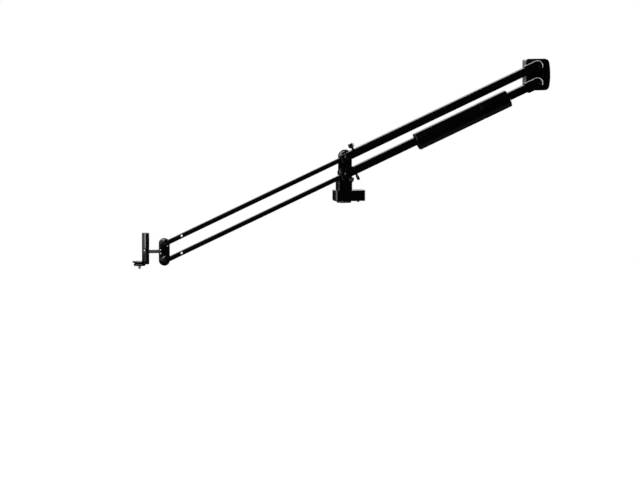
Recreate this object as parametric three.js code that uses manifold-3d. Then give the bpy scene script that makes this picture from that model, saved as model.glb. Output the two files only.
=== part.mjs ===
// Camera jib crane: a telescoping parallelogram arm on a turning column.
// Millimetres, +Z up, +X towards the counterweight, -Y towards the side that carries the arms.
// The origin is the centre of the mount ring's underside, on the pan axis.
import * as THREE from 'three';
import { mergeVertices } from 'three/addons/utils/BufferGeometryUtils.js';
import Module from 'manifold-3d';

const wasm = await Module();
wasm.setup();

// General clearances and roundness
const gap = 0.3;
const slideGap = 0.6;
const overrun = 4;
const fineFacets = 12;
const roundFacets = 20;
const wideFacets = 28;
const cornerSteps = 2;
const baseCornerSteps = 4;
const archSteps = 10;

// The parallelogram
const tiltDegrees = 24.36;
const pivotSpacing = 61;
const lowerPivotHeight = 104.7;
const frontReach = 719;
const rearReach = 760.5;

// Base box and what it stands on
const mountRing = { radius: 26, height: 6.5, chamfer: 1, screwRadius: 4.8 };
const base = { frontMargin: 10.4, sideMargin: 2.6, height: 34.4, corner: 9, edge: 0.6, wall: 4, roof: 5, plate: 3 };
const button = { radius: 4.3, drop: 4.5, flange: 1.5, flangeMargin: 1.5, fromMotor: 2.95, fromMiddle: 14 };

// Pan bearings and drive
const panShaft = { radius: 8, headMargin: 3, headHeight: 1.3, intoFoot: 22 };
const bearing = { thickness: 5, height: 8 };
const carrier = { wall: 2.2, flange: 3, flangeMargin: 0.6, lip: 2 };
const gearModule = 1;
const panGear = { teeth: 44, width: 6, rise: 1.5 };
const pinion = { teeth: 12, shaftRadius: 2, shaftIn: 5 };
const gearBacklash = 0.35;
const motor = { radius: 11.5, frontRim: 2, rimInset: 1.5 };
const battery = { length: 13.5, fromButton: 0.6, sideMargin: 3.5, headroom: 3.4, corner: 3 };
const thrustWasher = { margin: 2.5, thickness: 1.5 };

// Tooth heights as shares of the module, and tooth half widths as shares of one tooth's pitch
const toothShare = { tip: 0.9, root: 1.15, rootWidth: 0.34, tipWidth: 0.11 };

// Column
const column = { width: 49, plate: 12, bevel: 1.6, bossRadius: 23.5, bossRise: 2.5, faceFromAxis: 24.5 };
const foot = { width: 50, depth: 54, height: 39, corner: 3, cavityWall: 6, cavityDepth: 22, roof: 7,
  shaftLand: 26 };
const cover = { thickness: 3, corner: 4 };
const barrel = { lowerRadius: 20, lowerLength: 28, upperRadius: 16, upperLength: 20, web: 10, webInset: 5 };
const gearmotor = { wall: 3.7, behindPlate: 4, tail: 12, tailRadius: 14, rimHeight: 4, socket: 12 };
const bush = { wall: 3.7, lip: 1 };

// Rear tubes of the arms
const rearTube = { height: 28.6, depth: 25.4, wall: 2, corner: 2.5, mouth: 19, shortOfPivot: 46 };
const axle = { radius: 8, flangeRadius: 21, flange: 3.4, nutRadius: 12, nutHeight: 5, pastBarrel: 7 };
const hubCap = { radius: 10, rise: 3, rim: 1 };
const mouthBush = { lip: 3, reach: 30 };
const lug = { radius: 19.3, plug: 26, corner: 5, endCapRecess: 0.6 };

// Front tubes of the arms
const frontTube = { height: 15.9, depth: 15.9, wall: 1.6, corner: 1.5, pastPivot: 75, shortOfPivot: 19,
  pinHole: 4.7, pinHoleFromPivot: 65 };
const eye = { radius: 13.5, plug: 22, edge: 1 };
const shoe = { length: 28 };

// Clamping screws and knobs
const thumbscrew = { fromPivot: 32, stemRadius: 3, stemShows: 7.4, headLength: 22, headHeight: 15.3,
  headDepth: 9, waist: 1, waistPlain: 1, pastWall: 1.2 };
const tiltLock = { alongArm: 8, clearOfTube: 0.5, earRadius: 8, screwRadius: 2.5, stand: 2.7, length: 14,
  radius: 10.5, lobes: 5, lobeDepth: 1.6, hubRadius: 5 };

// Front plate, axles, rod, post and head
const frontPlate = { radius: 18.5, thickness: 17, bevel: 1.2 };
const frontAxle = { radius: 4.2, headRadius: 6.5, head: 1.8, intoPlate: 10 };
const rod = { radius: 6.35, rise: 2.2, intoPlate: 12, throughPost: 7 };
const post = { ahead: 67.3, radius: 13.1, coreRadius: 9, above: 66.6, below: 44.7, clampHeight: 17, edge: 1.2,
  capRise: 1.6, capInset: 2.2, footInset: 0.6, floor: 3 };
const seat = { ahead: 21.7, radius: 25.6, rim: 3.4, coneRadius: 16.5, coneDrop: 4.4, aboveFoot: 10.3,
  neckWidth: 20 };
const stud = { radius: 4.76, flangeRadius: 8, flange: 2, below: 11, tip: 1.2 };
const lockWheel = { radius: 21, height: 7.6, lobes: 24, lobeDepth: 0.8, boreGap: 0.35 };

// Rear block
const rearPlate = { ahead: 36, behind: 46.5, bulge: 6.5, above: 24.3, below: 27.8, thickness: 8, frontCorner: 9,
  rearCorner: 16 };
const ballast = { behind: 40, inset: 6.5, depth: 52, farPlate: 5, farInset: 1.5, bevel: 1 };
const rearAxle = { radius: 8, intoBallast: 14 };

// Counterweight
const weight = { acrossFlats: 60, drop: 4.7, shortOfPivot: 116.5, mainLength: 258, rearLength: 108.7,
  bevel: 1.4, sides: 8 };
const weightBush = { wall: 3, length: 20 };
const weightLock = { fromEnd: 51, screwRadius: 3, radius: 9, length: 9, lobes: 6, lobeDepth: 1.1, lobeStand: 1 };

// Places worked out from the sizes above
const tilt = THREE.MathUtils.degToRad(tiltDegrees);
const quarterTurn = Math.PI / 2;
const halfTurn = Math.PI;
const fullTurn = 2 * Math.PI;
const bossFace = -(column.faceFromAxis + column.bossRise);
const armFarFace = bossFace - gap - axle.flange - gap;
const armPlane = armFarFace - rearTube.depth / 2;
const frontTubeFarFace = armPlane + frontTube.depth / 2;
const floorOfBase = mountRing.height + gap;
const housingBottom = floorOfBase + base.plate + gap;
const baseTop = housingBottom + base.height;
const footBottom = baseTop + gap;
const footTop = footBottom + foot.height;
const upperPivotHeight = lowerPivotHeight + pivotSpacing;
const mouth = -rearTube.mouth;
const rearTubeEnd = rearReach - rearTube.shortOfPivot;
const frontTubeStart = -(frontReach - frontTube.shortOfPivot);
const tiltLockDrop = rearTube.height / 2 + tiltLock.clearOfTube + tiltLock.radius;

// Places inside the base, each behind the one before: pan gear, pinion and motor, button, battery, wall
const panGearTip = gearModule * (panGear.teeth / 2 + toothShare.tip);
const pinionDistance = (gearModule * (panGear.teeth + pinion.teeth)) / 2 + gearBacklash;
const buttonFlange = button.radius + button.flangeMargin;
const buttonX = pinionDistance + motor.radius + button.fromMotor + buttonFlange;
const batteryStart = buttonX + buttonFlange + battery.fromButton;
const batteryEnd = batteryStart + battery.length;
const baseRear = batteryEnd + gap + base.wall;
const baseFront = -(panGearTip + base.frontMargin + base.wall);
const baseDepth = 2 * (panGearTip + base.sideMargin + base.wall);

// Places of the counterweight along the arm, counted back from the rear pivot
const weightEnd = rearReach - weight.shortOfPivot;
const weightRearStart = weightEnd - weight.rearLength;
const weightMainEnd = weightRearStart - gap;
const weightStart = weightMainEnd - weight.mainLength;

// Materials
const finish = (color, roughness, metalness) => new THREE.MeshStandardMaterial({ color, roughness, metalness });
const blackPaint = finish(0x121213, 0.42, 0.1);
const blackAnodised = finish(0x17171a, 0.36, 0.55);
const blackPlastic = finish(0x19191b, 0.55, 0);
const greyCast = finish(0x7c7e82, 0.4, 0.55);
const steel = finish(0xa9abb0, 0.28, 0.95);
const bronze = finish(0x9c7a45, 0.4, 0.85);

// Solids

// A closed three.js geometry turned into a solid that can be joined and cut
function toSolid(geometry) {
  const plain = geometry.clone();
  plain.deleteAttribute('normal');
  plain.deleteAttribute('uv');
  const merged = mergeVertices(plain);
  const vertProperties = new Float32Array(merged.attributes.position.array);
  const triVerts = new Uint32Array(merged.index.array);
  return new wasm.Manifold(new wasm.Mesh({ numProp: 3, vertProperties, triVerts }));
}

// A solid turned back into a three.js geometry
function toGeometry(solid) {
  const mesh = solid.getMesh();
  const geometry = new THREE.BufferGeometry();
  geometry.setAttribute('position', new THREE.BufferAttribute(mesh.vertProperties, mesh.numProp));
  geometry.setIndex(new THREE.BufferAttribute(mesh.triVerts, 1));
  geometry.computeVertexNormals();
  return geometry;
}

const joined = (first, ...others) => others.reduce((sum, other) => sum.add(other), first);
const cut = (solid, ...tools) => tools.reduce((rest, tool) => rest.subtract(tool), solid);
const placed = (geometry, x, y, z) => toSolid(geometry.translate(x, y, z));

// A block between two opposite corners
function block(x0, x1, y0, y1, z0, z1) {
  const geometry = new THREE.BoxGeometry(x1 - x0, y1 - y0, z1 - z0);
  return placed(geometry, (x0 + x1) / 2, (y0 + y1) / 2, (z0 + z1) / 2);
}

// Round bars along X, Y and Z, each between two places on its axis
function barX(radius, x0, x1, y = 0, z = 0, facets = roundFacets) {
  const geometry = new THREE.CylinderGeometry(radius, radius, x1 - x0, facets).rotateZ(quarterTurn);
  return placed(geometry, (x0 + x1) / 2, y, z);
}

function barY(radius, y0, y1, x = 0, z = 0, facets = roundFacets) {
  return placed(new THREE.CylinderGeometry(radius, radius, y1 - y0, facets), x, (y0 + y1) / 2, z);
}

function barZ(radius, z0, z1, x = 0, y = 0, facets = roundFacets) {
  const geometry = new THREE.CylinderGeometry(radius, radius, z1 - z0, facets).rotateX(quarterTurn);
  return placed(geometry, x, y, (z0 + z1) / 2);
}

// A profile of [radius, height] points turned about Z
function turned(points, x = 0, y = 0, z = 0, facets = roundFacets) {
  const outline = points.map(([radius, height]) => new THREE.Vector2(radius, height));
  return placed(new THREE.LatheGeometry(outline, facets).rotateX(quarterTurn), x, y, z);
}

// The same, turned about Y, with heights measured towards the viewer's side
function turnedTowardsViewer(points, x, y, z, facets = roundFacets) {
  const outline = points.map(([radius, height]) => new THREE.Vector2(radius, height));
  return placed(new THREE.LatheGeometry(outline, facets).rotateX(halfTurn), x, y, z);
}

// A rectangle with round corners, centred on its middle
function roundedRectangle(width, height, radius) {
  const shape = new THREE.Shape();
  const x = width / 2;
  const y = height / 2;
  shape.moveTo(-x + radius, -y);
  shape.absarc(x - radius, -y + radius, radius, -quarterTurn, 0);
  shape.absarc(x - radius, y - radius, radius, 0, quarterTurn);
  shape.absarc(-x + radius, y - radius, radius, quarterTurn, halfTurn);
  shape.absarc(-x + radius, -y + radius, radius, halfTurn, halfTurn + quarterTurn);
  return shape;
}

// A shape with lobes round its rim, as on a hand knob
function lobedShape(radius, lobes, depth, steps) {
  const shape = new THREE.Shape();
  const points = [];
  for (let i = 0; i < lobes * steps; i += 1) {
    const angle = (fullTurn * i) / (lobes * steps);
    const reach = radius - (depth / 2) * (1 - Math.cos(lobes * angle));
    points.push(new THREE.Vector2(reach * Math.cos(angle), reach * Math.sin(angle)));
  }
  shape.setFromPoints(points);
  return shape;
}

// A spur gear's outline: straight-flanked teeth from root to tip on the pitch circle
function gearShape(teeth, pitchOffset) {
  const shape = new THREE.Shape();
  const pitch = (gearModule * teeth) / 2;
  const tip = pitch + gearModule * toothShare.tip;
  const root = pitch - gearModule * toothShare.root;
  const points = [];
  for (let i = 0; i < teeth; i += 1) {
    const middle = (fullTurn * (i + pitchOffset)) / teeth;
    for (const [reach, share] of [[root, -toothShare.rootWidth], [tip, -toothShare.tipWidth],
      [tip, toothShare.tipWidth], [root, toothShare.rootWidth]]) {
      const angle = middle + (fullTurn * share) / teeth;
      points.push(new THREE.Vector2(reach * Math.cos(angle), reach * Math.sin(angle)));
    }
  }
  shape.setFromPoints(points);
  return shape;
}

// A shape extruded along Z, X or away from the viewer, with an optional bevel kept inside its length
function extrusion(shape, length, bevel = 0, steps = cornerSteps) {
  const settings = { depth: length - 2 * bevel, bevelEnabled: bevel > 0, bevelThickness: bevel,
    bevelSize: bevel, bevelOffset: -bevel, bevelSegments: 1, curveSegments: steps };
  return new THREE.ExtrudeGeometry(shape, settings).translate(0, 0, bevel);
}

const alongZ = (shape, z0, z1, bevel, steps) => placed(extrusion(shape, z1 - z0, bevel, steps), 0, 0, z0);

// The shape's x runs along Y and its y along Z
function alongX(shape, x0, x1, bevel, steps) {
  const geometry = extrusion(shape, x1 - x0, bevel, steps).rotateX(quarterTurn).rotateZ(quarterTurn);
  return placed(geometry, x0, 0, 0);
}

// The shape's x runs along X and its y along Z
function alongY(shape, y0, y1, bevel, steps) {
  const geometry = extrusion(shape, y1 - y0, bevel, steps).rotateX(quarterTurn);
  return placed(geometry, 0, y1, 0);
}

// The crane and its named pieces
const crane = new THREE.Group();

function add(group, name, solid, material) {
  const mesh = new THREE.Mesh(toGeometry(solid), material);
  mesh.name = name;
  group.add(mesh);
}

// A rectangular ring along X: the outline of a tube, sleeve or bush
function sleeve(height, depth, corner, holeHeight, holeDepth, holeCorner, x0, x1) {
  const outside = alongX(roundedRectangle(depth, height, corner), x0, x1);
  const inside = alongX(roundedRectangle(holeDepth, holeHeight, holeCorner), x0 - overrun, x1 + overrun);
  return cut(outside, inside);
}

// Base box: mount ring, bottom plate, open-bottomed housing and what is inside
function buildBase() {
  const ring = turned([[mountRing.screwRadius, 0], [mountRing.radius - mountRing.chamfer, 0],
    [mountRing.radius, mountRing.chamfer], [mountRing.radius, mountRing.height],
    [mountRing.screwRadius, mountRing.height], [mountRing.screwRadius, 0]], 0, 0, 0, wideFacets);
  add(crane, 'mount_ring', ring, blackAnodised);

  const middle = (baseFront + baseRear) / 2;
  const length = baseRear - baseFront;
  const outline = roundedRectangle(length, baseDepth, base.corner);
  const buttonY = -button.fromMiddle;
  const slab = alongZ(outline, floorOfBase, floorOfBase + base.plate, base.edge, baseCornerSteps);
  const plate = cut(slab.translate(middle, 0, 0),
    barZ(mountRing.screwRadius, floorOfBase - overrun, housingBottom + overrun),
    barZ(button.radius + gap, floorOfBase - overrun, housingBottom + overrun, buttonX, buttonY, fineFacets));
  add(crane, 'base_bottom_plate', plate, blackAnodised);

  const inner = roundedRectangle(length - 2 * base.wall, baseDepth - 2 * base.wall, base.corner - base.wall);
  const roofBottom = baseTop - base.roof;
  const shell = alongZ(outline, housingBottom, baseTop, base.edge, baseCornerSteps);
  const housing = cut(shell.translate(middle, 0, 0),
    alongZ(inner, housingBottom - overrun, roofBottom).translate(middle, 0, 0),
    barZ(panShaft.radius + gap, roofBottom - overrun, baseTop + overrun));
  add(crane, 'base_housing', housing, blackPaint);

  const bearingRadius = panShaft.radius + gap + bearing.thickness;
  const carrierRadius = bearingRadius + gap + carrier.wall;
  const carrierTop = roofBottom - gap;
  const gearTop = housingBottom + panShaft.headHeight + gap + panGear.rise + panGear.width;
  const carrierBottom = gearTop + gap;
  const lipRadius = bearingRadius - carrier.lip;
  const boreRadius = bearingRadius + gap;
  add(crane, 'bearing_carrier', turned([[lipRadius, carrierBottom], [carrierRadius, carrierBottom],
    [carrierRadius, carrierTop - carrier.flange],
    [carrierRadius + carrier.flangeMargin, carrierTop - carrier.flange],
    [carrierRadius + carrier.flangeMargin, carrierTop], [boreRadius, carrierTop],
    [boreRadius, carrierBottom + carrier.lip], [lipRadius, carrierBottom + carrier.lip],
    [lipRadius, carrierBottom]]), greyCast);
  const race = (bottom) => turned([[panShaft.radius + gap, bottom], [bearingRadius, bottom],
    [bearingRadius, bottom + bearing.height], [panShaft.radius + gap, bottom + bearing.height],
    [panShaft.radius + gap, bottom]]);
  add(crane, 'pan_bearing_lower', race(carrierBottom + carrier.lip + gap), steel);
  add(crane, 'pan_bearing_upper', race(carrierTop - bearing.height - gap), steel);

  const gearBottom = gearTop - panGear.width;
  const motorBottom = gearTop + gap + pinion.shaftRadius;
  const motorBody = turned([[0, motorBottom], [motor.radius - motor.rimInset, motorBottom],
    [motor.radius - motor.rimInset, motorBottom + motor.frontRim], [motor.radius, motorBottom + motor.frontRim],
    [motor.radius, carrierTop], [0, carrierTop]], pinionDistance, 0);
  add(crane, 'pan_motor', cut(motorBody, barZ(pinion.shaftRadius + gap, motorBottom - overrun,
    motorBottom + pinion.shaftIn + gap, pinionDistance, 0, fineFacets)), steel);
  const pinionBody = joined(
    alongZ(gearShape(pinion.teeth, 0), gearBottom, gearTop).translate(pinionDistance, 0, 0),
    barZ(pinion.shaftRadius, gearBottom, motorBottom + pinion.shaftIn, pinionDistance, 0, fineFacets));
  add(crane, 'pan_pinion', pinionBody, steel);

  const batteryDepth = baseDepth - 2 * (base.wall + battery.sideMargin);
  const pack = alongZ(roundedRectangle(battery.length, batteryDepth, battery.corner), housingBottom,
    roofBottom - battery.headroom).translate((batteryStart + batteryEnd) / 2, 0, 0);
  add(crane, 'battery_pack', pack, blackPlastic);

  add(crane, 'power_button', turned([[0, floorOfBase - button.drop],
    [button.radius - base.edge, floorOfBase - button.drop], [button.radius, floorOfBase - button.drop + base.edge],
    [button.radius, housingBottom], [buttonFlange, housingBottom],
    [buttonFlange, housingBottom + button.flange], [0, housingBottom + button.flange]],
  buttonX, buttonY, 0, fineFacets), blackPlastic);
  return gearBottom;
}

// Column: the pan shaft and gear, the foot with its upright plate, and the pivots' bushes
function buildColumn(gearBottom) {
  const headRadius = panShaft.radius + panShaft.headMargin;
  const shaftTop = footBottom + panShaft.intoFoot;
  const panShaftBody = joined(barZ(panShaft.radius, housingBottom, shaftTop),
    barZ(headRadius, housingBottom, housingBottom + panShaft.headHeight));
  add(crane, 'pan_shaft', panShaftBody, steel);
  const wheel = cut(
    alongZ(gearShape(panGear.teeth, 1 / 2), gearBottom, gearBottom + panGear.width),
    barZ(panShaft.radius + gap, gearBottom - overrun, gearBottom + panGear.width + overrun));
  const hub = cut(barZ(headRadius, housingBottom + panShaft.headHeight + gap, gearBottom),
    barZ(panShaft.radius + gap, housingBottom, gearBottom + overrun));
  add(crane, 'pan_gear', joined(wheel, hub), steel);

  const washerRadius = foot.width / 2 - thrustWasher.margin;
  const washerTop = footBottom + thrustWasher.thickness;
  add(crane, 'thrust_washer', cut(barZ(washerRadius, footBottom, washerTop),
    barZ(panShaft.radius + gap, footBottom - overrun, washerTop + overrun)), bronze);

  // Foot with its shaft bore, washer recess and the cavity that the back cover closes
  const footBlock = alongZ(roundedRectangle(foot.width, foot.depth, foot.corner), footBottom, footTop,
    base.edge);
  const cavityFloor = footBottom + panShaft.intoFoot + gap + foot.cavityWall;
  const cavityBack = foot.depth / 2;
  const cavityHalf = foot.width / 2 - foot.cavityWall;
  const cavityFront = cavityBack - foot.cavityDepth;
  const cavity = block(-cavityHalf, cavityHalf, cavityFront, cavityBack + overrun, washerTop + foot.cavityWall,
    footTop - foot.roof);
  const shaftLand = barZ(foot.shaftLand / 2, footBottom + thrustWasher.thickness, cavityFloor);
  const shaftBore = barZ(panShaft.radius + gap, footBottom - overrun, shaftTop + gap);
  const recess = barZ(washerRadius + gap, footBottom - overrun, washerTop + gap);

  // Upright plate with a round top, and a round boss at each pivot
  const half = column.width / 2;
  const upright = new THREE.Shape();
  upright.moveTo(-half, footTop - base.edge);
  upright.lineTo(half, footTop - base.edge);
  upright.lineTo(half, upperPivotHeight);
  upright.absarc(0, upperPivotHeight, half, 0, halfTurn);
  const plateFar = -column.faceFromAxis + column.plate;
  const plateSolid = alongY(upright, -column.faceFromAxis, plateFar, column.bevel, archSteps);
  const bosses = [lowerPivotHeight, upperPivotHeight].map((height) => turnedTowardsViewer(
    [[0, 0], [column.bossRadius, 0], [column.bossRadius, column.bossRise - column.bevel / 2],
      [column.bossRadius - column.bevel, column.bossRise], [0, column.bossRise]],
    0, -column.faceFromAxis, height, wideFacets));
  const lockPad = block(-column.bossRadius + column.bevel, column.bossRadius - column.bevel, bossFace,
    -column.faceFromAxis + column.bevel, footTop - column.bevel, lowerPivotHeight);
  const lowerBarrelEnd = plateFar + barrel.lowerLength;
  const upperBarrelEnd = plateFar + barrel.upperLength;
  const lowerBarrel = barY(barrel.lowerRadius, plateFar, lowerBarrelEnd, 0, lowerPivotHeight);
  const upperBarrel = barY(barrel.upperRadius, plateFar, upperBarrelEnd, 0, upperPivotHeight);
  const web = block(-barrel.web / 2, barrel.web / 2, plateFar - gap, upperBarrelEnd - barrel.webInset,
    footTop - base.edge, upperPivotHeight);
  const footJoin = block(-half + column.bevel, half - column.bevel, -column.faceFromAxis + column.bevel, plateFar,
    footTop - foot.roof / 2, footTop + column.bevel);

  const bushRadius = axle.radius + gap + bush.wall + gap;
  const motorRadius = barrel.lowerRadius - gearmotor.wall;
  const motorNear = plateFar + gearmotor.behindPlate;
  const lowerBushHole = barY(bushRadius, bossFace - overrun, motorNear + overrun, 0, lowerPivotHeight);
  const upperBushHole = barY(bushRadius, bossFace - overrun, upperBarrelEnd + overrun, 0, upperPivotHeight);
  const motorHole = barY(motorRadius + gap, motorNear - gap, lowerBarrelEnd + overrun, 0, lowerPivotHeight);
  const body = cut(
    joined(cut(footBlock, cut(cavity, shaftLand)), plateSolid, ...bosses, lockPad, lowerBarrel,
      upperBarrel, web, footJoin),
    shaftBore, recess, lowerBushHole, upperBushHole, motorHole);
  add(crane, 'column_body', body, blackPaint);

  const coverOutline = roundedRectangle(foot.width - 2 * foot.corner, foot.height - 2 * foot.corner,
    cover.corner);
  const coverY = foot.depth / 2 + gap;
  const backCover = alongY(coverOutline, coverY, coverY + cover.thickness, base.edge);
  add(crane, 'column_back_cover', backCover.translate(0, 0, (footBottom + footTop) / 2), blackPlastic);

  const pivotBush = (y0, y1, height) => cut(barY(bushRadius - gap, y0, y1, 0, height),
    barY(axle.radius + gap, y0 - overrun, y1 + overrun, 0, height));
  add(crane, 'lower_pivot_bush', pivotBush(bossFace + bush.lip, motorNear - gap, lowerPivotHeight), bronze);
  add(crane, 'upper_pivot_bush', pivotBush(bossFace + bush.lip, upperBarrelEnd, upperPivotHeight), bronze);

  // Gearmotor of the tilt, seated in the lower barrel from behind, with a socket for the axle
  const motorTail = lowerBarrelEnd + gap;
  const drive = cut(joined(barY(motorRadius, motorNear, motorTail + overrun, 0, lowerPivotHeight),
    barY(barrel.lowerRadius, motorTail, motorTail + gearmotor.rimHeight, 0, lowerPivotHeight),
    barY(gearmotor.tailRadius, motorTail, motorTail + gearmotor.tail, 0, lowerPivotHeight)),
  barY(axle.radius + gap, motorNear - overrun, motorNear + gearmotor.socket + gap, 0, lowerPivotHeight));
  add(crane, 'tilt_gearmotor', drive, blackAnodised);
  return { lowerAxleEnd: motorNear + gearmotor.socket, upperAxleEnd: upperBarrelEnd + axle.pastBarrel,
    upperBarrelEnd };
}

// One arm's rear tube with its pivot axle, hub cap, mouth bush and rear lug, along X from its pivot
function buildRearArm(group, side, screwSide, axleEnd) {
  const innerHeight = rearTube.height - 2 * rearTube.wall;
  const innerDepth = rearTube.depth - 2 * rearTube.wall;
  const innerCorner = rearTube.corner - rearTube.wall / 2;
  const screwHole = screwSide > 0
    ? barZ(thumbscrew.stemRadius + gap, 0, rearTube.height, thumbscrew.fromPivot, 0, fineFacets)
    : barZ(thumbscrew.stemRadius + gap, -rearTube.height, 0, thumbscrew.fromPivot, 0, fineFacets);
  const tube = cut(sleeve(rearTube.height, rearTube.depth, rearTube.corner, innerHeight, innerDepth,
    innerCorner, mouth, rearTubeEnd), screwHole).translate(0, armPlane, 0);
  add(group, `${side}_rear_tube`, tube, blackAnodised);

  const flangeNear = armFarFace + gap;
  let pivotAxle = joined(
    barY(axle.flangeRadius, flangeNear, flangeNear + axle.flange, 0, 0, wideFacets),
    barY(axle.radius, flangeNear, axleEnd));
  if (screwSide < 0) {
    const ear = barY(tiltLock.earRadius, flangeNear, flangeNear + axle.flange, tiltLock.alongArm,
      -tiltLockDrop);
    const earHole = barY(tiltLock.screwRadius + gap, flangeNear - overrun, flangeNear + axle.flange + overrun,
      tiltLock.alongArm, -tiltLockDrop, fineFacets);
    pivotAxle = cut(joined(pivotAxle, ear), earHole);
  }
  add(group, `${side}_pivot_axle`, pivotAxle, blackAnodised);

  const nearFace = armPlane - rearTube.depth / 2;
  const cap = turnedTowardsViewer([[0, 0], [hubCap.radius, 0], [hubCap.radius, hubCap.rim],
    [hubCap.radius - hubCap.rim, hubCap.rise - hubCap.rim / 2], [hubCap.radius / 2, hubCap.rise],
    [0, hubCap.rise]], 0, nearFace - gap, 0);
  add(group, `${side}_hub_cap`, cap, blackPaint);

  const holeHeight = frontTube.height + slideGap;
  const holeDepth = frontTube.depth + slideGap;
  const lip = sleeve(rearTube.height, rearTube.depth, rearTube.corner, holeHeight, holeDepth,
    frontTube.corner, mouth - gap - mouthBush.lip, mouth - gap);
  const liner = sleeve(innerHeight - slideGap, innerDepth - slideGap, innerCorner, holeHeight, holeDepth,
    frontTube.corner, mouth - gap - mouthBush.lip, mouth + mouthBush.reach);
  add(group, `${side}_mouth_bush`, joined(lip, liner).translate(0, armPlane, 0), blackPlastic);

  // Rear lug: a plug in the tube's end and a deep round-ended eye about the rear pivot
  const lugStart = rearTubeEnd + gap;
  const lugLength = rearReach - lugStart;
  const lugOutline = roundedRectangle(lugLength + lug.radius, 2 * lug.radius, lug.corner);
  const lugBody = alongY(lugOutline, -rearTube.depth / 2, rearTube.depth / 2)
    .translate(lugStart + (lugLength + lug.radius) / 2, 0, 0);
  const lugFront = block(lugStart, rearReach, -rearTube.depth, rearTube.depth, -lug.radius - overrun,
    lug.radius + overrun);
  const lugRound = barY(lug.radius, -rearTube.depth / 2, rearTube.depth / 2, rearReach, 0, wideFacets);
  const plug = alongX(roundedRectangle(innerDepth - slideGap, innerHeight - slideGap, innerCorner),
    rearTubeEnd - lug.plug, rearReach);
  const lugSolid = cut(joined(lugBody.intersect(lugFront), lugRound, plug),
    barY(rearAxle.radius + gap, -rearTube.depth, rearTube.depth, rearReach, 0));
  add(group, `${side}_rear_lug`, lugSolid.translate(0, armPlane, 0), blackPaint);
}

// One arm's front tube with its eye and its slider shoe
function buildFrontArm(group, side) {
  const innerHeight = frontTube.height - 2 * frontTube.wall;
  const innerDepth = frontTube.depth - 2 * frontTube.wall;
  const innerCorner = frontTube.corner / 2;
  const pinHole = barY(frontTube.pinHole, -frontTube.depth, frontTube.depth,
    frontTube.pinHoleFromPivot - frontReach, 0);
  const tube = cut(sleeve(frontTube.height, frontTube.depth, frontTube.corner, innerHeight, innerDepth,
    innerCorner, frontTubeStart, frontTube.pastPivot), pinHole).translate(0, armPlane, 0);
  add(group, `${side}_front_tube`, tube, blackAnodised);

  const neck = alongX(roundedRectangle(frontTube.depth, frontTube.height, frontTube.corner), -frontReach,
    frontTubeStart - gap);
  const plug = alongX(roundedRectangle(innerDepth - slideGap, innerHeight - slideGap, innerCorner), -frontReach,
    frontTubeStart + eye.plug);
  const disc = turnedTowardsViewer([[0, 0], [eye.radius, 0], [eye.radius, frontTube.depth - eye.edge],
    [eye.radius - eye.edge, frontTube.depth], [0, frontTube.depth]], -frontReach, frontTube.depth / 2, 0);
  const eyeSolid = cut(joined(neck, plug, disc),
    barY(frontAxle.radius + gap, -frontTube.depth, frontTube.depth, -frontReach, 0));
  add(group, `${side}_front_eye`, eyeSolid.translate(0, armPlane, 0), blackPaint);

  const shoeSolid = sleeve(rearTube.height - 2 * rearTube.wall - slideGap,
    rearTube.depth - 2 * rearTube.wall - slideGap, rearTube.corner - rearTube.wall / 2,
    frontTube.height + slideGap, frontTube.depth + slideGap, frontTube.corner,
    frontTube.pastPivot - shoe.length, frontTube.pastPivot);
  add(group, `${side}_slider_shoe`, shoeSolid.translate(0, armPlane, 0), blackPlastic);
}

// A thumbscrew square to the arm, with its flat head either along the arm or turned across it
function buildThumbscrew(group, side, across) {
  const tipHeight = frontTube.height / 2 + gap + thumbscrew.pastWall;
  const headBottom = rearTube.height / 2 + thumbscrew.stemShows;
  const halfLength = thumbscrew.headLength / 2;
  const waist = thumbscrew.headLength / 2 - thumbscrew.waist;
  const wing = new THREE.Shape();
  wing.moveTo(-waist + thumbscrew.waistPlain, 0);
  wing.lineTo(waist - thumbscrew.waistPlain, 0);
  wing.quadraticCurveTo(waist, thumbscrew.headHeight / 3, halfLength, thumbscrew.headHeight / 2);
  wing.quadraticCurveTo(halfLength, thumbscrew.headHeight, waist, thumbscrew.headHeight);
  wing.lineTo(-waist, thumbscrew.headHeight);
  wing.quadraticCurveTo(-halfLength, thumbscrew.headHeight, -halfLength, thumbscrew.headHeight / 2);
  wing.quadraticCurveTo(-waist, thumbscrew.headHeight / 3, -waist + thumbscrew.waistPlain, 0);
  const head = alongY(wing, -thumbscrew.headDepth / 2, thumbscrew.headDepth / 2, base.edge)
    .translate(0, 0, headBottom);
  const stem = barZ(thumbscrew.stemRadius, tipHeight, headBottom + thumbscrew.headHeight / 2, 0, 0, fineFacets);
  let screw = joined(head, stem);
  if (across) {
    screw = screw.rotate([0, 0, 90]).rotate([180, 0, 0]);
  }
  add(group, `${side}_thumbscrew`, screw.translate(thumbscrew.fromPivot, armPlane, 0), blackPlastic);
}

// The knob under the lower pivot that presses its screw on the column's boss
function buildTiltLock(group) {
  const knobFar = armFarFace - tiltLock.stand;
  const knobShape = lobedShape(tiltLock.radius, tiltLock.lobes, tiltLock.lobeDepth, 6);
  const knob = joined(
    alongY(knobShape, knobFar - tiltLock.length, knobFar, base.edge).translate(tiltLock.alongArm, 0,
      -tiltLockDrop),
    barY(tiltLock.hubRadius, knobFar - gap, armFarFace, tiltLock.alongArm, -tiltLockDrop),
    barY(tiltLock.screwRadius, knobFar - gap, bossFace - gap, tiltLock.alongArm, -tiltLockDrop, fineFacets));
  add(group, 'tilt_lock_knob', knob, blackPlastic);
}

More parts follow.
